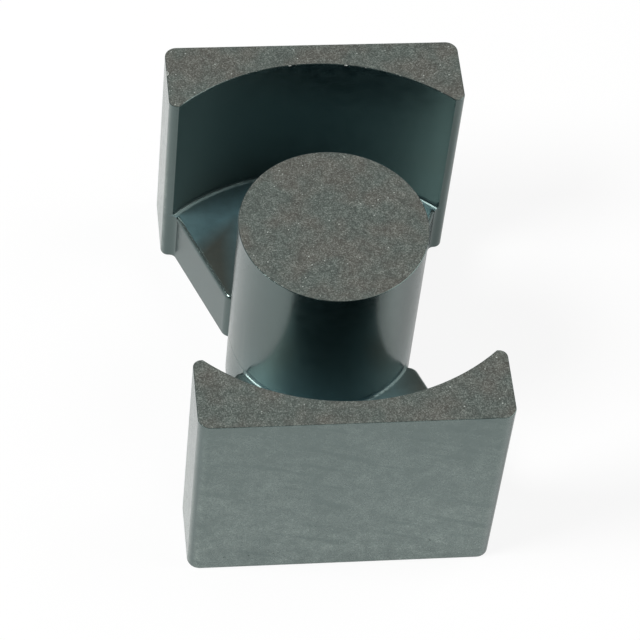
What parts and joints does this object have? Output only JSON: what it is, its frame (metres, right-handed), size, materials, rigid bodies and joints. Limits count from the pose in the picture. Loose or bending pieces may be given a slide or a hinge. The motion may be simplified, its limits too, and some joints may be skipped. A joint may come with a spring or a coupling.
{
  "type": "pq ferrite core half",
  "caption": "One half of a round-post ferrite power core: a waisted plate with a round centre post and two legs with round inner walls.",
  "frame": {"origin": "on the centre post's axis, at the flat back face of the plate", "axes": "+Z along the centre post, from the back face towards the mating faces; Y from one leg to the other; X across the legs"},
  "size_m": [0.0318, 0.05, 0.0252],
  "materials": {
    "ferrite": "satin"
  },
  "bodies": {
    "root": {"core_half": "ferrite"}
  },
  "joints": []
}
